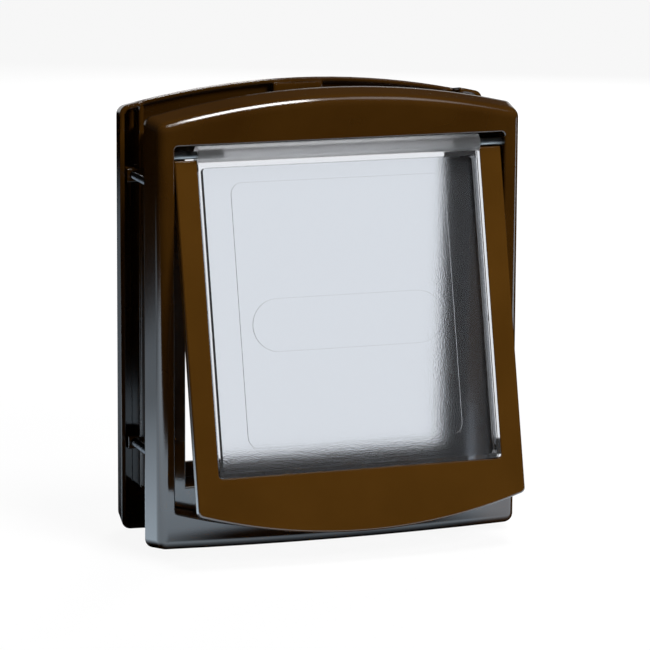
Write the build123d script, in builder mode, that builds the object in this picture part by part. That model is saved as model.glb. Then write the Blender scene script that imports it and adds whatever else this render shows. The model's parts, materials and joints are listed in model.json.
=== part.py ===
from build123d import *
import math
import os

os.makedirs("parts", exist_ok=True)

# Both frames, seen from the front; the origin is on the outside face of the door, at mid height
outer_width = 200
outer_height = 236.5
top_rise = 12
bottom_sag = 1.8
frame_depth = 17.5
wall = 2.4
door_thickness = 42

# How far the face draws in from the rim at the door, and the rounding of its edges and corners
draw = 2.7
edge_round = 5
hollow_corner = 2
opening_chamfer = 0.6

# Opening in the face: straight top and sides, bottom bowed down
stile = 10.8
head_rail = 24.75
bottom_rail = 9.75
opening_sag = 13.6
opening_corner = 2
inside_narrowing = 1.9

# Sleeve of the outside frame, and the tunnel of the inside frame that slides into it
sleeve_reach = 12
sleeve_wall = 1.6
tunnel_fit = 0.4
tunnel_wall = 2.2
tunnel_front = 2
flange_border = 11.1
flange_head = 6
flange_sill = 21.5
floor_step = 4

# Passage through the border plate of the inside frame
passage_border = 8.6
passage_head = 9.5
passage_sill = 25.5
passage_corner = 6

# Slot, rails and notch that take a closing panel from above
panel_slot = 4.5
rail_width = 7.1
rail_thickness = 2.4
slot_inset = 5.2
notch_depth = 10
bridge_width = 27
bridge_depth = 6
bridge_shy = 1.5

# Fixing screws, one near each corner, with covers over their heads
screw_inset_side = 7.4
screw_inset_end = 47.75
screw_radius = 1.75
screw_head_radius = 2.3
screw_head_height = 2.2
screw_clearance = 0.25
pilot_clearance = 0.04
pilot_rest = 2
screw_tip_gap = 1
cross_length = 2.8
cross_width = 0.7
cross_depth = 1.2
block_wall = 0.8
block_shy = 0.5
cover_thickness = 1.6
cover_fit = 0.1
cover_shy = 1.3

# Hinge
axis_setback = 5.6
axis_drop = 5.5
open_angle = 13.1
pin_radius = 2
pin_in_barrel = 14
pin_in_keeper = 1.5
pin_fit = 0.04
pin_running = 0.07
pin_end_gap = 0.3
pin_chamfer = 0.4
keeper_thickness = 2.8
keeper_height = 14
keeper_length = 10
keeper_gap = 0.3
keeper_chamfer = 0.6

# Flap: brown surround with a clear tray in it, measured down from the hinge axis
flap_side_gap = 1
flap_bottom_gap = 1.5
strip_width = 12
strip_top = 2.6
flap_rail = 31.8
surround_thickness = 4.5
surround_front = 1.5
surround_corner = 3
surround_chamfer = 0.6
window_corner = 2
window_fit = 0.15
window_wall = 2.2
window_proud = 0.5
window_plate = 2.2
window_recess = 6
seat_width = 3
seat_thickness = 1.8
tray_top = 1
top_wall = 5.7
barrel_radius = 4.5
lug_length = 3
lug_width = 1.6
lug_height = 0.7
lug_offset = 7.2

# Raised pad and plaque on the tray
pad_margin_side = 18.2
pad_margin_top = 14.7
pad_margin_bottom = 13.7
pad_corner = 6
pad_rise = 0.6
plaque_margin = 6.5
plaque_height = 27
plaque_offset = 5.7
plaque_rise = 0.6

# Magnets in the bottom rail of the flap and in the sill
magnet_length = 30
flap_magnet_height = 6
flap_magnet_thickness = 2.5
flap_magnet_margin = 7
sill_magnet_depth = 8
sill_magnet_thickness = 1.8
sill_magnet_setback = 4
magnet_gap = 0.3

half_width = outer_width / 2
half_height = outer_height / 2
opening_half = half_width - stile
opening_top = half_height - head_rail
opening_low = -half_height + bottom_rail
opening_side_low = opening_low + opening_sag

# Planes on the two faces of the door, with normals that point towards the frame on that side
outside = Plane.XZ
inside = Plane(origin=(0, door_thickness, 0), x_dir=(-1, 0, 0), z_dir=(0, 1, 0))

# Plane of the hanging flap: through the hinge axis, normal to the front
axis_y = -frame_depth + axis_setback
axis_z = opening_top - axis_drop
lean = math.radians(open_angle)
flap = Plane(origin=(0, axis_y, axis_z), x_dir=(1, 0, 0), z_dir=(0, -math.cos(lean), math.sin(lean)))

screw_spacing_x = outer_width - 2 * screw_inset_side
screw_spacing_z = outer_height - 2 * screw_inset_end
counterbore_radius = screw_head_radius + screw_clearance
counterbore_depth = screw_head_height + cover_thickness + cover_shy


def drafted_block(door, inset, depth):
    # Solid within the outline of a frame, drawing in from the door: flat sides, arched top and bowed bottom
    draft = math.degrees(math.atan(draw / frame_depth))
    wide = half_width - inset
    narrow = wide - draw * depth / frame_depth
    near = door.origin.Y
    far = near + depth * door.z_dir.Y
    with BuildPart() as block:
        with BuildSketch(Plane.XY):
            with BuildLine():
                Polyline((-wide, near), (wide, near), (narrow, far), (-narrow, far), close=True)
            make_face()
        extrude(amount=outer_height, both=True)
        for rise, upright in ((top_rise, 1), (bottom_sag, -1)):
            radius = (half_width**2 + rise**2) / (2 * rise)
            with BuildSketch(door):
                with Locations((0, upright * (half_height - radius))):
                    Circle(radius - inset)
            extrude(amount=depth, taper=draft, mode=Mode.INTERSECT)
    return block.part


def opening_outline(plane, grow=0):
    # Outline of the opening, grown or shrunk all round
    half = opening_half + grow
    side_low = opening_side_low - grow
    with BuildSketch(plane) as outline:
        with BuildLine():
            high = opening_top + grow
            Polyline((-half, side_low), (-half, high), (half, high), (half, side_low))
            ThreePointArc((half, side_low), (0, opening_low - grow), (-half, side_low))
        make_face()
        fillet(outline.vertices(), opening_corner + max(grow, 0))
    return outline.sketch


def screw_blocks(plane, size):
    with BuildSketch(plane) as blocks:
        with GridLocations(screw_spacing_x, screw_spacing_z, 2, 2):
            Rectangle(size, size)
    return blocks.sketch


def screw_circles(plane, radius):
    with BuildSketch(plane) as circles:
        with GridLocations(screw_spacing_x, screw_spacing_z, 2, 2):
            Circle(radius)
    return circles.sketch


def axis_circle(x, radius):
    # Circle about the hinge axis at a distance along it
    with BuildSketch(Plane.YZ.offset(x)) as circle:
        with Locations((axis_y, axis_z)):
            Circle(radius)
    return circle.sketch


def frame_shell(door, narrowing):
    # Bezel on one side of the door, hollow towards it, with a wall round the opening and screw blocks
    towards_face = Axis(door.origin, door.z_dir)
    add(drafted_block(door, 0, frame_depth))
    # Every edge is rounded but the four at the rim
    fillet(edges().sort_by(towards_face)[4:], edge_round)
    with BuildPart(mode=Mode.PRIVATE) as hollow:
        add(drafted_block(door, wall, frame_depth - wall))
        # Of the hollow, only the four corner edges are cut
        chamfer(edges().sort_by(towards_face)[4:8], hollow_corner)
    add(hollow.part, mode=Mode.SUBTRACT)
    extrude(opening_outline(door, wall - narrowing), amount=frame_depth - wall / 2)
    block_length = frame_depth - wall / 2 - block_shy
    extrude(screw_blocks(door.offset(block_shy), 2 * (counterbore_radius + block_wall)), amount=block_length)
    extrude(opening_outline(door, -narrowing), amount=frame_depth, mode=Mode.SUBTRACT)
    chamfer(faces().sort_by(towards_face)[-1].inner_wires()[0].edges(), opening_chamfer)


# Outside frame
with BuildPart() as outside_frame:
    frame_shell(outside, 0)
    extrude(opening_outline(outside, sleeve_wall), amount=-sleeve_reach)
    extrude(opening_outline(outside), amount=-sleeve_reach, mode=Mode.SUBTRACT)
    pilot_depth = frame_depth - wall - pilot_rest
    extrude(screw_circles(outside, screw_radius + pilot_clearance), amount=pilot_depth, mode=Mode.SUBTRACT)
    pin_hole_reach = opening_half + wall
    extrude(axis_circle(0, pin_radius + pin_running), amount=pin_hole_reach, both=True, mode=Mode.SUBTRACT)
outside_frame.part.label = "outside_frame"
export_step(outside_frame.part, "parts/outside_frame.step")

# Inside frame
tunnel_length = door_thickness - tunnel_front
tunnel_half = opening_half - tunnel_fit - tunnel_wall
sill_top = opening_low + flange_sill
flange_top = opening_top - flange_head
plate_back = door_thickness + wall
rail_front = plate_back + panel_slot
wall_middle = opening_half + wall / 2 - inside_narrowing
top_wall_middle = opening_top + wall / 2 - inside_narrowing
passage_low = opening_low + passage_sill
passage_high = opening_top - passage_head
with BuildPart() as inside_frame:
    frame_shell(inside, inside_narrowing)
    # Border plate, and the tunnel that reaches forward from it
    extrude(opening_outline(inside, wall / 2 - inside_narrowing), amount=wall)
    extrude(opening_outline(inside, -tunnel_fit), amount=-tunnel_length)
    tunnel_hollow = opening_outline(inside, -tunnel_fit - tunnel_wall)
    extrude(tunnel_hollow, amount=-(tunnel_length - tunnel_wall), mode=Mode.SUBTRACT)
    # Tunnel floor behind the sill of the flange
    with BuildSketch(Plane.XY.offset(sill_top - floor_step)):
        with Locations((0, tunnel_front + tunnel_length / 2)):
            Rectangle(2 * tunnel_half + tunnel_wall, tunnel_length)
    extrude(amount=-tunnel_wall)
    # Way through the flange at the front of the tunnel
    with BuildSketch(Plane.XZ.offset(-tunnel_front)):
        with Locations((0, (sill_top + flange_top) / 2)):
            Rectangle(2 * (opening_half - tunnel_fit - flange_border), flange_top - sill_top)
    extrude(amount=-tunnel_wall, mode=Mode.SUBTRACT)
    # Passage through the border plate
    with BuildSketch(Plane.XZ.offset(-door_thickness)):
        with Locations((0, (passage_low + passage_high) / 2)):
            passage_width = 2 * (opening_half - passage_border)
            RectangleRounded(passage_width, passage_high - passage_low, passage_corner)
    extrude(amount=-wall, mode=Mode.SUBTRACT)
    # Rails for the closing panel, with a rest across their feet
    with BuildSketch(Plane.XZ.offset(-rail_front)):
        rail_low = opening_side_low
        rail_height = top_wall_middle - rail_low
        for side in (-1, 1):
            with Locations((side * (wall_middle - rail_width / 2), rail_low + rail_height / 2)):
                Rectangle(rail_width, rail_height)
    extrude(amount=-rail_thickness)
    with BuildSketch(Plane.XZ.offset(-plate_back + wall / 2)):
        with Locations((0, rail_low + rail_thickness / 2)):
            Rectangle(2 * wall_middle, rail_thickness)
    extrude(amount=-(panel_slot + rail_thickness + wall / 2))
    # Notch in the top of the bezel, with a wall at each end and a bridge behind the slot
    with BuildSketch(Plane.XZ.offset(-door_thickness)):
        wall_high = half_height - top_rise
        for side in (-1, 1):
            with Locations((side * wall_middle, (top_wall_middle + wall_high) / 2)):
                Rectangle(wall, wall_high - top_wall_middle)
    extrude(amount=-notch_depth)
    with BuildSketch(Plane.XZ.offset(-door_thickness)):
        with Locations((0, half_height)):
            Rectangle(2 * wall_middle - wall, 2 * (top_rise + wall))
    extrude(amount=-notch_depth, mode=Mode.SUBTRACT)
    with BuildSketch(Plane.XZ.offset(-rail_front - rail_thickness)):
        bridge_high = half_height - draw - bridge_shy
        with Locations((0, (top_wall_middle + bridge_high) / 2)):
            Rectangle(bridge_width, bridge_high - top_wall_middle)
    extrude(amount=-bridge_depth)
    # Slot through the top wall of the opening
    with BuildSketch(Plane.XZ.offset(-plate_back)):
        with Locations((0, top_wall_middle)):
            Rectangle(2 * (opening_half - slot_inset), 2 * wall)
    extrude(amount=-panel_slot, mode=Mode.SUBTRACT)
    # Screw holes, counterbored from the face
    with Locations(inside.offset(frame_depth)):
        with GridLocations(screw_spacing_x, screw_spacing_z, 2, 2):
            hole_radius = screw_radius + screw_clearance
            CounterBoreHole(hole_radius, counterbore_radius, counterbore_depth, frame_depth)
inside_frame.part.label = "inside_frame"
export_step(inside_frame.part, "parts/inside_frame.step")

# Fixing screws: heads in the counterbores, tips in the blocks of the outside frame
seat = inside.offset(frame_depth - counterbore_depth)
shank_length = frame_depth - counterbore_depth + door_thickness + pilot_depth - screw_tip_gap
with BuildPart() as fixing_screws:
    extrude(screw_circles(seat, screw_head_radius), amount=screw_head_height)
    extrude(screw_circles(seat, screw_radius), amount=-shank_length)
    with BuildSketch(seat.offset(screw_head_height)):
        with GridLocations(screw_spacing_x, screw_spacing_z, 2, 2):
            Rectangle(cross_length, cross_width)
            Rectangle(cross_width, cross_length)
    extrude(amount=-cross_depth, mode=Mode.SUBTRACT)
fixing_screws.part.label = "fixing_screws"
export_step(fixing_screws.part, "parts/fixing_screws.step")

with BuildPart() as screw_covers:
    cover_plane = seat.offset(screw_head_height)
    extrude(screw_circles(cover_plane, counterbore_radius - cover_fit), amount=cover_thickness)
screw_covers.part.label = "screw_covers"
export_step(screw_covers.part, "parts/screw_covers.step")

# Flap surround: two side strips and a bottom rail that follows the bowed opening
flap_half = opening_half - flap_side_gap
flap_low = opening_low + flap_bottom_gap - axis_z
flap_side_low = flap_low + opening_sag
window_half = flap_half - strip_width
window_drop = -flap_low - flap_rail
towards_front = Axis(flap.origin, flap.z_dir)
magnet_centre = flap_low + flap_magnet_margin
surround_back = surround_front - surround_thickness
with BuildPart() as flap_surround:
    with BuildSketch(flap.offset(surround_front)) as u_shape:
        with BuildLine():
            Polyline(
                (-flap_half, flap_side_low),
                (-flap_half, -strip_top),
                (-window_half, -strip_top),
                (-window_half, -window_drop),
                (window_half, -window_drop),
                (window_half, -strip_top),
                (flap_half, -strip_top),
                (flap_half, flap_side_low),
            )
            ThreePointArc((flap_half, flap_side_low), (0, flap_low), (-flap_half, flap_side_low))
        make_face()
        fillet(u_shape.vertices().group_by(Axis.Y)[1], window_corner)
        fillet(u_shape.vertices().group_by(Axis.Y)[0], surround_corner)
    extrude(amount=-surround_thickness)
    chamfer(faces().sort_by(towards_front)[-1].edges(), surround_chamfer)
    with BuildSketch(flap.offset(surround_back)):
        with Locations((0, magnet_centre)):
            Rectangle(magnet_length + 2 * magnet_gap, flap_magnet_height + 2 * magnet_gap)
    extrude(amount=flap_magnet_thickness, mode=Mode.SUBTRACT)
flap_surround.part.label = "flap_surround"
export_step(flap_surround.part, "parts/flap_surround.step")

# Flap window: clear tray set in from behind, with a barrel along its top
window_edge = window_half - window_fit
window_low = -window_drop + window_fit
window_front = surround_front + window_proud
plate_front = window_front - window_recess
recess_high = -tray_top - top_wall
recess_low = window_low + window_wall
pad_width = 2 * (window_half - pad_margin_side)
pad_high = -pad_margin_top
pad_low = -window_drop + pad_margin_bottom
with BuildPart() as flap_window:
    with BuildSketch(flap.offset(window_front)):
        with Locations((0, (window_low - tray_top) / 2)):
            RectangleRounded(2 * window_edge, -tray_top - window_low, window_corner)
    extrude(amount=-(window_recess + window_plate))
    # Rim that seats on the back of the surround
    with BuildSketch(flap.offset(surround_back)):
        seat_high = -strip_top
        seat_low = -window_drop - seat_width
        with Locations((0, (seat_high + seat_low) / 2)):
            Rectangle(2 * (window_half + seat_width), seat_high - seat_low)
    extrude(amount=-seat_thickness)
    with BuildSketch(flap.offset(window_front)):
        with Locations((0, (recess_high + recess_low) / 2)):
            RectangleRounded(2 * (window_edge - window_wall), recess_high - recess_low, window_corner)
    extrude(amount=-window_recess, mode=Mode.SUBTRACT)
    # Lugs on the side walls
    with BuildSketch(flap.offset(window_front)):
        for side in (-1, 1):
            lug_height_on_wall = (recess_high + recess_low) / 2 - lug_offset
            with Locations((side * (window_edge - window_wall / 2), lug_height_on_wall)):
                Rectangle(lug_width, lug_length)
    extrude(amount=lug_height)
    # Raised pad and plaque
    with BuildSketch(flap.offset(plate_front)):
        with Locations((0, (pad_high + pad_low) / 2)):
            RectangleRounded(pad_width, pad_high - pad_low, pad_corner)
    extrude(amount=pad_rise)
    with BuildSketch(flap.offset(plate_front + pad_rise)):
        with Locations((0, (pad_high + pad_low) / 2 - plaque_offset)):
            SlotOverall(pad_width - 2 * plaque_margin, plaque_height)
    extrude(amount=plaque_rise)
    # Barrel, bored for the pins
    extrude(axis_circle(0, barrel_radius), amount=window_edge, both=True)
    extrude(axis_circle(0, pin_radius + pin_fit), amount=window_edge, both=True, mode=Mode.SUBTRACT)
flap_window.part.label = "flap_window"
export_step(flap_window.part, "parts/flap_window.step")

# Pivot pins in the ends of the barrel, and the keepers behind the opening wall that close their holes
pin_start = window_edge - pin_in_barrel
pin_length = opening_half + wall + pin_in_keeper - pin_start
keeper_start = opening_half + wall
keeper_y = -frame_depth + wall + keeper_gap + keeper_length / 2
for side, name in ((-1, "left"), (1, "right")):
    with BuildPart() as pivot_pin:
        extrude(axis_circle(side * pin_start, pin_radius), amount=side * pin_length)
        chamfer(edges().filter_by(GeomType.CIRCLE), pin_chamfer)
    pivot_pin.part.label = f"pivot_pin_{name}"
    export_step(pivot_pin.part, f"parts/pivot_pin_{name}.step")

    with BuildPart() as pin_keeper:
        with BuildSketch(Plane.YZ.offset(side * keeper_start)):
            with Locations((keeper_y, axis_z)):
                Rectangle(keeper_length, keeper_height)
        extrude(amount=side * keeper_thickness)
        outward = Axis((0, 0, 0), (side, 0, 0))
        chamfer(faces().sort_by(outward)[-1].edges(), keeper_chamfer)
        hole = axis_circle(side * keeper_start, pin_radius + pin_running)
        extrude(hole, amount=side * (pin_in_keeper + pin_end_gap), mode=Mode.SUBTRACT)
    pin_keeper.part.label = f"pin_keeper_{name}"
    export_step(pin_keeper.part, f"parts/pin_keeper_{name}.step")

# Magnets
with BuildPart() as flap_magnet:
    with BuildSketch(flap.offset(surround_back)):
        with Locations((0, magnet_centre)):
            Rectangle(magnet_length, flap_magnet_height)
    extrude(amount=flap_magnet_thickness)
flap_magnet.part.label = "flap_magnet"
export_step(flap_magnet.part, "parts/flap_magnet.step")

with BuildPart() as sill_magnet:
    with BuildSketch(Plane.XY.offset(opening_low - wall - magnet_gap)):
        with Locations((0, -frame_depth + wall + sill_magnet_setback + sill_magnet_depth / 2)):
            Rectangle(magnet_length, sill_magnet_depth)
    extrude(amount=-sill_magnet_thickness)
sill_magnet.part.label = "sill_magnet"
export_step(sill_magnet.part, "parts/sill_magnet.step")
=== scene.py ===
import bpy
import json
import math
from mathutils import Matrix, Vector


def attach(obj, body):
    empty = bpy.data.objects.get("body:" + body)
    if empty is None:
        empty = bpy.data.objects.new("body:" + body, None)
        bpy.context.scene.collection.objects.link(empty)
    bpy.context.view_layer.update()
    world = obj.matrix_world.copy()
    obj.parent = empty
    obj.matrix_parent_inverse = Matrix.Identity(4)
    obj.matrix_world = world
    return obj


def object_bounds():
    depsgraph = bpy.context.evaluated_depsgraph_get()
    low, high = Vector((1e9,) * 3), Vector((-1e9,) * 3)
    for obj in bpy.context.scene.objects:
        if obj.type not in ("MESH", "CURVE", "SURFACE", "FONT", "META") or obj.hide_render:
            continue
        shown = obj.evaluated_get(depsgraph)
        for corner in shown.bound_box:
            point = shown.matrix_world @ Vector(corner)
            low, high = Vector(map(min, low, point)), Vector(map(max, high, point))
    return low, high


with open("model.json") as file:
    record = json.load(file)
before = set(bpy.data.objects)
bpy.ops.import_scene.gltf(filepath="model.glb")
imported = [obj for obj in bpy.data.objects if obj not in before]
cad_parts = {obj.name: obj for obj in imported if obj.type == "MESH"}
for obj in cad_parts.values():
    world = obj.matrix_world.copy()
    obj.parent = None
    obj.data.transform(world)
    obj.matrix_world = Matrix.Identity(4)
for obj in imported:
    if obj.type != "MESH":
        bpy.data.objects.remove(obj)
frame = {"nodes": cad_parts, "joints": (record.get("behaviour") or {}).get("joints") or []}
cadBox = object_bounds()
nodes = frame["nodes"]
hinge = frame["joints"][0]
tableTop = cadBox[0][2]
print("frame loaded:", len(nodes), "nodes")


# camera, as the photograph was taken: from the left, a little above
cameraView = {
    "yaw": -19.53,            # angles in degrees
    "elevation": 10.82,
    "roll": 0.3,
    "distance": 2.0304,
    "target": (0, 0.0185, -0.0005),
    "lens": 215.8,
    "shiftX": 0.0111,
    "shiftY": -0.0255,
    "farClip": 50,
}


def aimCamera(view):
    yaw = math.radians(view["yaw"])
    lift = math.radians(view["elevation"])
    roll = math.radians(view["roll"])
    back = Vector((math.sin(yaw) * math.cos(lift), -math.cos(yaw) * math.cos(lift), math.sin(lift)))
    right = Vector((math.cos(yaw), math.sin(yaw), 0))
    up = back.cross(right)
    rolledRight = right * math.cos(roll) + up * math.sin(roll)
    rolledUp = up * math.cos(roll) - right * math.sin(roll)
    data = bpy.data.cameras.new("photoCamera")
    data.lens = view["lens"]
    data.shift_x = view["shiftX"]
    data.shift_y = view["shiftY"]
    data.clip_end = view["farClip"]
    cam = bpy.data.objects.new("photoCamera", data)
    bpy.context.scene.collection.objects.link(cam)
    turn = Matrix((rolledRight, rolledUp, back)).transposed().to_4x4()
    cam.matrix_world = Matrix.Translation(Vector(view["target"]) + back * view["distance"]) @ turn
    bpy.context.scene.camera = cam


aimCamera(cameraView)
bpy.context.scene.view_settings.view_transform = "Standard"
print("camera placed")


# helpers for node trees
def addNode(tree, kind, place=(0, 0), **settings):
    node = tree.nodes.new(kind)
    node.location = place
    for key, value in settings.items():
        setattr(node, key, value)
    return node


def freshTree(name):
    mat = bpy.data.materials.new(name)
    mat.use_nodes = True
    tree = mat.node_tree
    tree.nodes.clear()
    return mat, tree


def freshGroup(name, kind, inputs, outputs):
    tree = bpy.data.node_groups.new(name, kind)
    for way, sockets in (("INPUT", inputs), ("OUTPUT", outputs)):
        for label, socketType in sockets.items():
            tree.interface.new_socket(label, in_out=way, socket_type=socketType)
    start = addNode(tree, "NodeGroupInput", (-900, 0))
    end = addNode(tree, "NodeGroupOutput", (700, 0))
    return tree, start.outputs, end


def feed(tree, socket, value):
    # a plain value is set on the socket, an output is linked to it
    if isinstance(value, bpy.types.NodeSocket):
        tree.links.new(value, socket)
    else:
        socket.default_value = value


def fill(tree, node, values):
    for label, value in values.items():
        feed(tree, node.inputs[label], value)
    return node


def mathNode(tree, operation, first, second=0.0, place=(0, 0)):
    node = addNode(tree, "ShaderNodeMath", place, operation=operation)
    feed(tree, node.inputs[0], first)
    feed(tree, node.inputs[1], second)
    return node.outputs[0]


def vectorNode(tree, operation, first, second=None, place=(0, 0)):
    node = addNode(tree, "ShaderNodeVectorMath", place, operation=operation)
    feed(tree, node.inputs[0], first)
    if second is not None:
        feed(tree, node.inputs[1], second)
    return node.outputs["Value" if operation in ("LENGTH", "DOT_PRODUCT") else "Vector"]


def ramp(tree, value, low, high, place=(0, 0)):
    # 0 at low, 1 at high, eased between them
    node = addNode(tree, "ShaderNodeMapRange", place, interpolation_type="SMOOTHSTEP")
    fill(tree, node, {"Value": value, "From Min": low, "From Max": high})
    return node.outputs["Result"]


def stretch(tree, value, wanted, given=(0.0, 1.0), place=(0, 0)):
    # from the range given to the range wanted, in a straight line
    node = addNode(tree, "ShaderNodeMapRange", place)
    fill(tree, node, {"Value": value, "From Min": given[0], "From Max": given[1]})
    fill(tree, node, {"To Min": wanted[0], "To Max": wanted[1]})
    return node.outputs["Result"]


def noise(tree, vector, scale, detail, place=(0, 0)):
    node = addNode(tree, "ShaderNodeTexNoise", place)
    fill(tree, node, {"Vector": vector, "Scale": scale, "Detail": detail})
    return node.outputs["Fac"]


def mixNumber(tree, factor, first, second, place=(0, 0)):
    node = addNode(tree, "ShaderNodeMix", place)
    fill(tree, node, {"Factor": factor, "A": first, "B": second})
    return node.outputs[0]


def mixColour(tree, factor, first, second, place=(0, 0)):
    node = addNode(tree, "ShaderNodeMix", place, data_type="RGBA")
    feed(tree, node.inputs[0], factor)
    feed(tree, node.inputs[6], first)  # 6, 7 and output 2 are the colours
    feed(tree, node.inputs[7], second)
    return node.outputs[2]


def splitVector(tree, vector, place=(0, 0)):
    node = addNode(tree, "ShaderNodeSeparateXYZ", place)
    feed(tree, node.inputs[0], vector)
    return node.outputs


def objectVector(tree):
    return addNode(tree, "ShaderNodeTexCoord", (-1200, 0)).outputs["Object"]


# white table in a white studio; the gloss sees a dark room, with a painted glow on the table that
# only reflections show, painted shadows in it, and a fainter painted glow far behind
studio = {
    "tableHalf": 3.0,
    "tableWhite": (0.86, 0.86, 0.87, 1),
    "tableBounce": (0.36, 0.36, 0.37, 1),
    "tableShow": 0.92,        # plain white to the eye; the rest is lit and keeps the shadow
    "plainWhite": (1, 1, 1, 1),
    # the glow that the gloss sees on the table is a painted reflection, no lamp lights it
    "glossGlowTint": (0.74, 0.89, 1.03, 1),
    "glossGlowLevel": (3.3, 0.75),  # near the front and far behind
    "glossGlowReach": (-0.12, 0.3),
    "glossGlowFront": -0.27,
    "glossGlowLeft": -0.78,
    "glossGlowLeftSoft": 0.09,
    "glossGlowSlant": 1.02,       # the rear edge runs aslant, further back on the left
    "glossGlowRear": 0.05,
    "glossGlowSoft": 0.03,
    "frontStrip": (-0.01, -0.03),  # in front of the frames the painted glow runs on to the right
    # painted shadow of the leaning flap on the table, seen in the gloss
    "shadeMiddle": (0.0, -0.05),
    "shadeReach": (0.115, 0.03),
    "underX": -0.108,         # right of this and behind underY is painted shade under the frames
    "underY": -0.022,
    "underSoft": 0.008,
    # a faint painted reflection glow far behind the frames
    "rearMiddle": (-0.1, 0.7),
    "rearReach": (0.35, 0.7),
    "rearGlow": 0.16,
    "spotFade": (1.0, 0.4),
    "tableBehind": (-0.16, -0.1),  # the white that the window shows starts here
    "skyBehind": (-0.3, -0.1),
    "ambient": 0.05,
    "darkRoom": 0.015,
    "noBounce": 0.5,          # a ray depth under this is none at all
}


def seenThrough(tree, path, behind, noBounce):
    # camera rays, and those that leave the window towards the white before anything scatters them
    straight = mathNode(tree, "LESS_THAN", path["Diffuse Depth"], noBounce, (-800, 350))
    through = mathNode(tree, "MULTIPLY", path["Is Transmission Ray"], straight, (-700, 450))
    # from behind the window shows the white in front of it, but only straight through
    unmirrored = mathNode(tree, "LESS_THAN", path["Glossy Depth"], noBounce, (-800, 250))
    anyWay = mathNode(tree, "MAXIMUM", behind, unmirrored, (-700, 250))
    through = mathNode(tree, "MULTIPLY", through, anyWay, (-650, 450))
    return mathNode(tree, "MAXIMUM", path["Is Camera Ray"], through, (-600, 500))


def softSpot(tree, spot, middle, reach, fade, place):
    # 1 in the middle of an oval on the table, 0 at its edge
    turned = addNode(tree, "ShaderNodeMapping", place, vector_type="TEXTURE")
    fill(tree, turned, {"Vector": spot, "Location": (*middle, tableTop), "Scale": (*reach, 1)})
    away = vectorNode(tree, "LENGTH", turned.outputs[0], place=place)
    return ramp(tree, away, *fade, place)


def paintedGlossGlow(tree, spot, x, y, look):
    # how bright each place of the table looks in the gloss: a painted reflection glow, with painted
    # shadows cut into it
    soft, leftSoft, underSoft = look["glossGlowSoft"], look["glossGlowLeftSoft"], look["underSoft"]
    glossGlow = ramp(tree, y, look["glossGlowFront"] - soft, look["glossGlowFront"] + soft, (-600, 200))
    aslant = mathNode(tree, "MULTIPLY", x, look["glossGlowSlant"], (-800, -100))
    aslant = mathNode(tree, "ADD", y, aslant, (-700, -100))
    rear = ramp(tree, aslant, look["glossGlowRear"] + soft, look["glossGlowRear"] - soft, (-600, -100))
    strip = ramp(tree, y, *look["frontStrip"], (-600, 0))
    rear = mathNode(tree, "MAXIMUM", rear, strip, (-500, 0))
    left = ramp(tree, x, look["glossGlowLeft"] - leftSoft, look["glossGlowLeft"] + leftSoft, (-600, -300))
    # painted shade under the frames, cut out of the glow
    underX = ramp(tree, x, look["underX"] - underSoft, look["underX"] + underSoft, (-600, -700))
    underY = ramp(tree, y, look["underY"] - underSoft, look["underY"] + underSoft, (-600, -800))
    under = mathNode(tree, "MULTIPLY", underX, underY, (-500, -700))
    fade = look["spotFade"]
    # painted shadow of the flap, cut out of the glow
    shade = softSpot(tree, spot, look["shadeMiddle"], look["shadeReach"], fade, (-800, -500))
    uncovered = mathNode(tree, "SUBTRACT", 1.0, under, (-400, -700))
    unshaded = mathNode(tree, "SUBTRACT", 1.0, shade, (-400, -500))
    for mask in (rear, left, uncovered, unshaded):
        glossGlow = mathNode(tree, "MULTIPLY", glossGlow, mask, (-300, 0))
    level = stretch(tree, y, look["glossGlowLevel"], look["glossGlowReach"], (-300, -200))
    glossGlow = mathNode(tree, "MULTIPLY", glossGlow, level, (-200, 0))
    # painted reflection glow far behind
    patch = softSpot(tree, spot, look["rearMiddle"], look["rearReach"], fade, (-800, -900))
    patch = mathNode(tree, "MULTIPLY", patch, look["rearGlow"], (-300, -900))
    return mathNode(tree, "ADD", glossGlow, patch, (-100, 0))


def whiteTable(look):
    half = look["tableHalf"]
    corners = [(-half, -half), (half, -half), (half, half), (-half, half)]
    mesh = bpy.data.meshes.new("table")
    mesh.from_pydata([(*corner, tableTop) for corner in corners], [], [(0, 1, 2, 3)])
    table = bpy.data.objects.new("table", mesh)
    bpy.context.scene.collection.objects.link(table)
    mat, tree = freshTree("tableWhite")
    spot = objectVector(tree)
    place = splitVector(tree, spot, (-1000, 0))
    glossGlow = paintedGlossGlow(tree, spot, place["X"], place["Y"], look)
    path = addNode(tree, "ShaderNodeLightPath", (-1000, 500)).outputs
    behind = ramp(tree, place["Y"], *look["tableBehind"], (-800, 250))
    seen = seenThrough(tree, path, behind, look["noBounce"])
    # a blurred ray through the window counts as glossy too, so it is taken off
    mirrored, passed = path["Is Glossy Ray"], path["Is Transmission Ray"]
    gloss = mathNode(tree, "GREATER_THAN", mirrored, passed, (-700, 650))
    white, bounce = look["tableWhite"], look["tableBounce"]
    lit = mixColour(tree, path["Is Diffuse Ray"], white, bounce, (-200, -200))
    plain = fill(tree, addNode(tree, "ShaderNodeBsdfDiffuse", (0, -200)), {"Color": lit})
    # the painted reflection glow counts for glossy rays only
    sheen = mathNode(tree, "MULTIPLY", gloss, glossGlow, (-100, 0))
    glow = fill(tree, addNode(tree, "ShaderNodeEmission", (200, 100)), {
        "Color": mixColour(tree, gloss, look["plainWhite"], look["glossGlowTint"], (0, 200)),
        "Strength": mathNode(tree, "ADD", seen, sheen, (50, 0)),
    })
    shown = mathNode(tree, "MULTIPLY", seen, look["tableShow"], (-300, 500))
    mix = addNode(tree, "ShaderNodeMixShader", (450, 0))
    feed(tree, mix.inputs[0], mathNode(tree, "MAXIMUM", shown, mirrored, (0, 500)))
    feed(tree, mix.inputs[1], plain.outputs[0])
    feed(tree, mix.inputs[2], glow.outputs[0])
    fill(tree, addNode(tree, "ShaderNodeOutputMaterial", (700, 0)), {"Surface": mix.outputs[0]})
    mesh.materials.append(mat)


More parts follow.
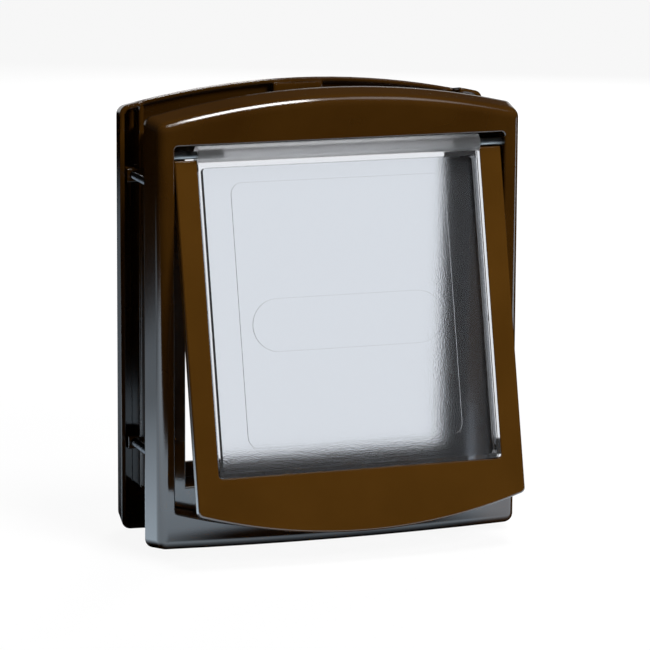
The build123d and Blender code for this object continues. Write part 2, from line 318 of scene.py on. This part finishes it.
def whiteWorld(look):
    world = bpy.data.worlds.new("studio")
    bpy.context.scene.world = world
    world.use_nodes = True
    tree = world.node_tree
    tree.nodes.clear()
    path = addNode(tree, "ShaderNodeLightPath", (-600, 0)).outputs
    heading = addNode(tree, "ShaderNodeTexCoord", (-1200, 200)).outputs["Generated"]
    away = splitVector(tree, heading, (-1000, 200))["Y"]
    behind = ramp(tree, away, *look["skyBehind"], (-800, 250))
    seen = seenThrough(tree, path, behind, look["noBounce"])
    gloss = mathNode(tree, "MULTIPLY", path["Is Glossy Ray"], look["darkRoom"], (-300, 0))
    soft = mathNode(tree, "MULTIPLY", path["Is Diffuse Ray"], look["ambient"], (-300, -200))
    unseen = mathNode(tree, "ADD", gloss, soft, (-100, -100))
    sky = fill(tree, addNode(tree, "ShaderNodeBackground", (200, 0)), {
        "Color": look["plainWhite"],
        "Strength": mathNode(tree, "MAXIMUM", seen, unseen, (50, 0)),
    })
    fill(tree, addNode(tree, "ShaderNodeOutputWorld", (450, 0)), {"Surface": sky.outputs[0]})


lamps = {
    # small softbox overhead, whose image is the line on the top edge
    "overhead": {
        "place": (0.16, -0.42, 1.15),
        "aim": (0.12, 0, 0),
        "size": (0.3, 0.42),
        "power": 12,
    },
    # the dim end of that line, to the right
    "overheadEnd": {
        "place": (0.52, -0.42, 1.1),
        "aim": (0.2, 0, 0),
        "size": (0.4, 0.42),
        "power": 1.1,
    },
    # plain light on the fronts
    "frontKey": {
        "place": (0.5, -1.25, 0.95),
        "aim": (0, 0, 0),
        "size": (0.5, 0.5),
        "power": 18,
        "mirrored": False,
    },
    # soft fill from the right and behind, for the far sides
    "rearFill": {
        "place": (0.75, 1.5, 0.55),
        "aim": (0, 0.03, 0),
        "size": (0.7, 0.7),
        "power": 36,
        "mirrored": False,
    },
    # seen in the gloss only
    "lowBackdrop": {
        "place": (0.4, 1.9, 0.22),
        "aim": (0, 0, 0),
        "size": (2.8, 0.5),
        "power": 2.6,
        "lights": False,
    },
}


def hangLamp(name, look):
    data = bpy.data.lights.new(name, "AREA")
    data.shape = "RECTANGLE"
    data.size, data.size_y = look["size"]
    data.energy = look["power"]
    lamp = bpy.data.objects.new(name, data)
    bpy.context.scene.collection.objects.link(lamp)
    place = Vector(look["place"])
    lamp.location = place
    lamp.rotation_euler = (Vector(look["aim"]) - place).to_track_quat("-Z", "Y").to_euler()
    lamp.visible_glossy = look.get("mirrored", True)
    lamp.visible_diffuse = look.get("lights", True)
    lamp.visible_transmission = False
    lamp.visible_camera = False


whiteTable(studio)
whiteWorld(studio)
for lampName, lampLook in lamps.items():
    hangLamp(lampName, lampLook)
print("studio lit:", len(lamps), "lamps")


# skin of a moulding: slow flow marks, a fine grain and edges that are never quite sharp
skinLook = {
    "flowDetail": 3.0,
    "flowShare": (0.3, 0.7),
    "grainDetail": 2.0,
    "grainHeight": 0.0003,
    "edgeSamples": 14,
}


def mouldSkin(look):
    tree, given, end = freshGroup("mouldSkin", "ShaderNodeTree", {
        "Vector": "NodeSocketVector",
        "Flow Size": "NodeSocketFloat",
        "Grain Size": "NodeSocketFloat",
        "Grain Depth": "NodeSocketFloat",
        "Edge Radius": "NodeSocketFloat",
    }, {
        "Flow": "NodeSocketFloat",
        "Grain": "NodeSocketFloat",
        "Normal": "NodeSocketVector",
    })
    flowScale = mathNode(tree, "DIVIDE", 1.0, given["Flow Size"], (-700, 300))
    flow = noise(tree, given["Vector"], flowScale, look["flowDetail"], (-500, 300))
    grainScale = mathNode(tree, "DIVIDE", 1.0, given["Grain Size"], (-700, -100))
    grain = noise(tree, given["Vector"], grainScale, look["grainDetail"], (-500, -100))
    edge = addNode(tree, "ShaderNodeBevel", (-200, -400), samples=look["edgeSamples"])
    fill(tree, edge, {"Radius": given["Edge Radius"]})
    bump = fill(tree, addNode(tree, "ShaderNodeBump", (200, -200)), {
        "Strength": given["Grain Depth"],
        "Distance": look["grainHeight"],
        "Height": grain,
        "Normal": edge.outputs[0],
    })
    flowMask = ramp(tree, flow, *look["flowShare"], (0, 300))
    fill(tree, end, {"Flow": flowMask, "Grain": grain, "Normal": bump.outputs[0]})
    return tree


# handling marks on metal: hair scratches along one way and dull spots
marksLook = {"hairDetail": 2.0, "spotDetail": 4.0, "spotShare": (0.45, 0.75)}


def handlingMarks(look):
    tree, given, end = freshGroup("handlingMarks", "ShaderNodeTree", {
        "Vector": "NodeSocketVector",
        "Hair": "NodeSocketVector",
        "Spot Size": "NodeSocketFloat",
    }, {
        "Hairs": "NodeSocketFloat",
        "Spots": "NodeSocketFloat",
    })
    stretched = vectorNode(tree, "MULTIPLY", given["Vector"], given["Hair"], (-600, 200))
    hairs = noise(tree, stretched, 1.0, look["hairDetail"], (-300, 200))
    spotScale = mathNode(tree, "DIVIDE", 1.0, given["Spot Size"], (-600, -200))
    spots = noise(tree, given["Vector"], spotScale, look["spotDetail"], (-300, -200))
    fill(tree, end, {"Hairs": hairs, "Spots": ramp(tree, spots, *look["spotShare"])})
    return tree


mouldGroup = mouldSkin(skinLook)
marksGroup = handlingMarks(marksLook)


def useGroup(tree, group, place, values):
    return fill(tree, addNode(tree, "ShaderNodeGroup", place, node_tree=group), values).outputs


def principled(tree, values):
    skin = fill(tree, addNode(tree, "ShaderNodeBsdfPrincipled", (300, 0)), values)
    fill(tree, addNode(tree, "ShaderNodeOutputMaterial", (700, 0)), {"Surface": skin.outputs[0]})


# brown mouldings
frameBrown = {
    "deep": (0.033, 0.0127, 0.0014, 1),
    "warm": (0.042, 0.017, 0.0021, 1),
    "rough": (0.07, 0.12),
    "edges": (0.0007, 0.003),  # in general, and along the top
    "arch": 1.2,
    "archTop": (0.103, 0.108),
    "flow": 0.05,
    "grain": 0.0006,
    "grainDepth": 0.04,
    "ior": 1.58,
}
flapBrown = {
    **frameBrown,
    "deep": (0.058, 0.0236, 0.0024, 1),
    "warm": (0.07, 0.029, 0.0034, 1),
    "rough": (0.1, 0.15),
    "edges": (0.0007, 0.0006),
}


def brownMoulding(name, look):
    mat, tree = freshTree(name)
    vector = objectVector(tree)
    # on the frames the outer edge along the arched top is the softest
    place = splitVector(tree, vector, (-1100, -300))
    squared = mathNode(tree, "POWER", place["X"], 2.0, (-1000, -300))
    arch = mathNode(tree, "MULTIPLY", squared, look["arch"], (-900, -300))
    height = mathNode(tree, "ADD", place["Z"], arch, (-800, -300))
    upTop = ramp(tree, height, *look["archTop"], (-700, -300))
    skin = useGroup(tree, mouldGroup, (-450, 0), {
        "Vector": vector,
        "Flow Size": look["flow"],
        "Grain Size": look["grain"],
        "Grain Depth": look["grainDepth"],
        "Edge Radius": stretch(tree, upTop, look["edges"], place=(-650, -500)),
    })
    principled(tree, {
        "Base Color": mixColour(tree, skin["Flow"], look["deep"], look["warm"], (-200, 200)),
        "Roughness": stretch(tree, skin["Grain"], look["rough"], place=(-200, -200)),
        "IOR": look["ior"],
        "Normal": skin["Normal"],
    })
    return mat


# clear window: polished rims, frosted in the recess and cloudy in the barrel
windowLook = {
    "clear": (0.85, 0.87, 0.91, 1),
    "frost": (0.745, 0.785, 0.845, 1),
    "milky": (0.97, 0.98, 1.0, 1),
    # painted shade along the pad and plaque edges
    "line": (0.6, 0.635, 0.69, 1),
    "lineReach": 0.0005,
    "lineTurn": (0.998, 0.93),
    "lineSamples": 8,
    "lean": math.radians(13.1),
    "halfAcross": 0.0735,
    "top": -0.0066,           # along the flap, from the hinge axis
    "bottom": -0.161,
    "behind": -0.001,         # across the flap
    "barrel": 0.0048,         # radius round the hinge axis
    "soft": 0.0004,
    "roughClear": 0.04,
    "roughFrost": 0.17,
    "roughBarrel": 0.7,
    "grain": 0.0008,
    "grainDetail": 2.0,
    "grainDepth": 0.2,
    "grainHeight": 0.0004,
    "ior": 1.49,
    "through": 0.97,
}


def frostMasks(tree, vector, look):
    # the flap's own frame: along it, across it and from side to side
    fromHinge = vectorNode(tree, "SUBTRACT", vector, hinge["pos_m"], (-1000, 0))
    lean, soft, half = look["lean"], look["soft"], look["halfAcross"]
    alongWay = (0, math.sin(lean), math.cos(lean))
    acrossWay = (0, -math.cos(lean), math.sin(lean))
    along = vectorNode(tree, "DOT_PRODUCT", fromHinge, alongWay, (-800, 200))
    across = vectorNode(tree, "DOT_PRODUCT", fromHinge, acrossWay, (-800, 0))
    sideways = splitVector(tree, vector, (-800, -200))["X"]
    offCentre = mathNode(tree, "ABSOLUTE", sideways, place=(-600, -200))
    frost = ramp(tree, offCentre, half + soft, half - soft, (-400, -200))
    for mask in (
        ramp(tree, across, look["behind"] + soft, look["behind"] - soft, (-400, 0)),
        ramp(tree, along, look["top"] + soft, look["top"] - soft, (-400, 200)),
        ramp(tree, along, look["bottom"] - soft, look["bottom"] + soft, (-400, 400)),
    ):
        frost = mathNode(tree, "MULTIPLY", frost, mask, (-150, 0))
    flat = vectorNode(tree, "MULTIPLY", fromHinge, (0, 1, 1), (-800, -400))
    fromAxis = vectorNode(tree, "LENGTH", flat, place=(-600, -400))
    barrel = ramp(tree, fromAxis, look["barrel"] + soft, look["barrel"] - soft, (-400, -400))
    return frost, barrel


def frostedWindow(name, look):
    mat, tree = freshTree(name)
    vector = objectVector(tree)
    frost, barrel = frostMasks(tree, vector, look)
    grain = noise(tree, vector, 1 / look["grain"], look["grainDetail"], (-400, -600))
    bump = fill(tree, addNode(tree, "ShaderNodeBump", (100, -500)), {
        "Strength": mathNode(tree, "MULTIPLY", frost, look["grainDepth"], (-100, -500)),
        "Distance": look["grainHeight"],
        "Height": grain,
    })
    # the edges of the raised pad and of the plaque show as fine lines of painted shade in the tint
    rounded = addNode(tree, "ShaderNodeBevel", (-700, -800), samples=look["lineSamples"])
    fill(tree, rounded, {"Radius": look["lineReach"]})
    outward = addNode(tree, "ShaderNodeNewGeometry", (-700, -1000)).outputs["Normal"]
    facing = vectorNode(tree, "DOT_PRODUCT", rounded.outputs[0], outward, (-500, -800))
    line = ramp(tree, facing, *look["lineTurn"], (-300, -800))
    tint = mixColour(tree, line, look["frost"], look["line"], (-200, 300))
    tint = mixColour(tree, frost, look["clear"], tint, (-100, 200))
    rough = mixNumber(tree, barrel, look["roughClear"], look["roughBarrel"], (0, -200))
    principled(tree, {
        "Base Color": mixColour(tree, barrel, tint, look["milky"], (0, 200)),
        "Roughness": mixNumber(tree, frost, rough, look["roughFrost"], (150, -200)),
        "IOR": look["ior"],
        "Transmission Weight": look["through"],
        "Normal": bump.outputs[0],
    })
    return mat


# metals and magnets
zincScrew = {
    "bright": (0.11, 0.112, 0.118, 1),
    "dull": (0.06, 0.06, 0.06, 1),
    "rough": (0.16, 0.34),
    "hair": (900, 60, 900),   # the scratches run along the screws
    "spot": 0.004,
}
pinSteel = {
    "bright": (0.3, 0.305, 0.3, 1),
    "dull": (0.16, 0.165, 0.16, 1),
    "rough": (0.48, 0.6),
    "hair": (900, 60, 900),
    "spot": 0.004,
}
ferriteLook = {
    "dark": (0.02, 0.02, 0.022, 1),
    "pale": (0.07, 0.07, 0.072, 1),
    "speckle": 0.0009,
    "speckleDetail": 5.0,
    "speckleShare": (0.4, 0.7),
    "pits": 0.3,
    "pitDepth": 0.0003,
    "rough": 0.55,
}


def marredMetal(name, look):
    mat, tree = freshTree(name)
    marks = useGroup(tree, marksGroup, (-600, 0), {
        "Vector": objectVector(tree),
        "Hair": look["hair"],
        "Spot Size": look["spot"],
    })
    principled(tree, {
        "Base Color": mixColour(tree, marks["Spots"], look["bright"], look["dull"], (-200, 200)),
        "Roughness": stretch(tree, marks["Hairs"], look["rough"], place=(-200, -200)),
        "Metallic": 1.0,
    })
    return mat


def ferrite(name, look):
    mat, tree = freshTree(name)
    vector = objectVector(tree)
    speck = noise(tree, vector, 1 / look["speckle"], look["speckleDetail"], (-600, 0))
    bump = addNode(tree, "ShaderNodeBump", (-200, -300))
    fill(tree, bump, {"Strength": look["pits"], "Distance": look["pitDepth"], "Height": speck})
    share = ramp(tree, speck, *look["speckleShare"], (-400, 200))
    principled(tree, {
        "Base Color": mixColour(tree, share, look["dark"], look["pale"], (-200, 200)),
        "Roughness": look["rough"],
        "Normal": bump.outputs[0],
    })
    return mat


finishes = {
    "frame": brownMoulding("frameBrown", frameBrown),
    "flap": brownMoulding("flapBrown", flapBrown),
    "window": frostedWindow("frostedWindow", windowLook),
    "screw": marredMetal("zincScrew", zincScrew),
    "pin": marredMetal("pinSteel", pinSteel),
    "magnet": ferrite("ferrite", ferriteLook),
}
dressing = {
    "outside_frame": "frame",
    "inside_frame": "frame",
    "screw_covers": "frame",
    "pin_keeper_left": "frame",
    "pin_keeper_right": "frame",
    "flap_surround": "flap",
    "flap_window": "window",
    "fixing_screws": "screw",
    "pivot_pin_left": "pin",
    "pivot_pin_right": "pin",
    "flap_magnet": "magnet",
    "sill_magnet": "magnet",
}
for nodeName, finishName in dressing.items():
    for materialSlot in nodes[nodeName].material_slots:
        materialSlot.material = finishes[finishName]
print("finishes set on", len(dressing), "nodes")


# threads on the fixing screws, between the frames: one ridge wound up and set on four points
threadLook = {
    "across": 0.1852,         # from screw to screw
    "up": 0.141,
    "start": 0.0015,
    "reach": 0.039,
    "pitch": 0.0014,
    "radius": 0.00172,
    "ridge": 0.0003,
    "stepsPerTurn": 20,
    "ridgeSides": 4,
}


def threadTree(look):
    tree, given, end = freshGroup("screwThreads", "GeometryNodeTree", {
        "Across": "NodeSocketFloat",
        "Up": "NodeSocketFloat",
        "Turns": "NodeSocketFloat",
        "Reach": "NodeSocketFloat",
        "Radius": "NodeSocketFloat",
        "Ridge": "NodeSocketFloat",
        "Start": "NodeSocketFloat",
        "Finish": "NodeSocketMaterial",
    }, {"Geometry": "NodeSocketGeometry"})
    spiral = fill(tree, addNode(tree, "GeometryNodeCurveSpiral", (-600, 300)), {
        "Resolution": look["stepsPerTurn"],
        "Rotations": given["Turns"],
        "Start Radius": given["Radius"],
        "End Radius": given["Radius"],
        "Height": given["Reach"],
    })
    profile = addNode(tree, "GeometryNodeCurvePrimitiveCircle", (-600, 0))
    fill(tree, profile, {"Resolution": look["ridgeSides"], "Radius": given["Ridge"]})
    ridge = fill(tree, addNode(tree, "GeometryNodeCurveToMesh", (-350, 200)), {
        "Curve": spiral.outputs[0],
        "Profile Curve": profile.outputs[0],
        "Fill Caps": True,
    })
    # wound along Z, laid along Y
    laid = addNode(tree, "GeometryNodeTransform", (-150, 200))
    fill(tree, laid, {"Geometry": ridge.outputs[0], "Rotation": (math.radians(-90), 0, 0)})
    corners = fill(tree, addNode(tree, "GeometryNodeMeshGrid", (-600, -250)), {
        "Size X": given["Across"],
        "Size Y": given["Up"],
        "Vertices X": 2,
        "Vertices Y": 2,
    })
    depth = fill(tree, addNode(tree, "ShaderNodeCombineXYZ", (-600, -450)), {"Y": given["Start"]})
    standing = fill(tree, addNode(tree, "GeometryNodeTransform", (-350, -250)), {
        "Geometry": corners.outputs[0],
        "Rotation": (math.radians(90), 0, 0),
        "Translation": depth.outputs[0],
    })
    placed = addNode(tree, "GeometryNodeInstanceOnPoints", (50, 0))
    fill(tree, placed, {"Points": standing.outputs[0], "Instance": laid.outputs[0]})
    real = addNode(tree, "GeometryNodeRealizeInstances", (250, 0))
    fill(tree, real, {"Geometry": placed.outputs[0]})
    painted = addNode(tree, "GeometryNodeSetMaterial", (450, 0))
    fill(tree, painted, {"Geometry": real.outputs[0], "Material": given["Finish"]})
    fill(tree, end, {"Geometry": painted.outputs[0]})
    return tree


def windThreads(look):
    tree = threadTree(look)
    holder = bpy.data.objects.new("threadHolder", bpy.data.meshes.new("threadHolder"))
    bpy.context.scene.collection.objects.link(holder)
    wind = holder.modifiers.new("wind", "NODES")
    wind.node_group = tree
    wanted = {
        "Across": look["across"],
        "Up": look["up"],
        "Turns": look["reach"] / look["pitch"],
        "Reach": look["reach"],
        "Radius": look["radius"],
        "Ridge": look["ridge"],
        "Start": look["start"],
        "Finish": finishes["screw"],
    }
    for item in tree.interface.items_tree:
        if item.in_out == "INPUT":
            wind[item.identifier] = wanted[item.name]
    graph = bpy.context.evaluated_depsgraph_get()
    mesh = bpy.data.meshes.new_from_object(holder.evaluated_get(graph))
    bpy.data.objects.remove(holder)  # and the modifier with it
    threads = bpy.data.objects.new("screwThreads", mesh)
    bpy.context.scene.collection.objects.link(threads)
    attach(threads, "frame")
    return threads


threads = windThreads(threadLook)
print("threads wound:", len(threads.data.polygons), "faces")
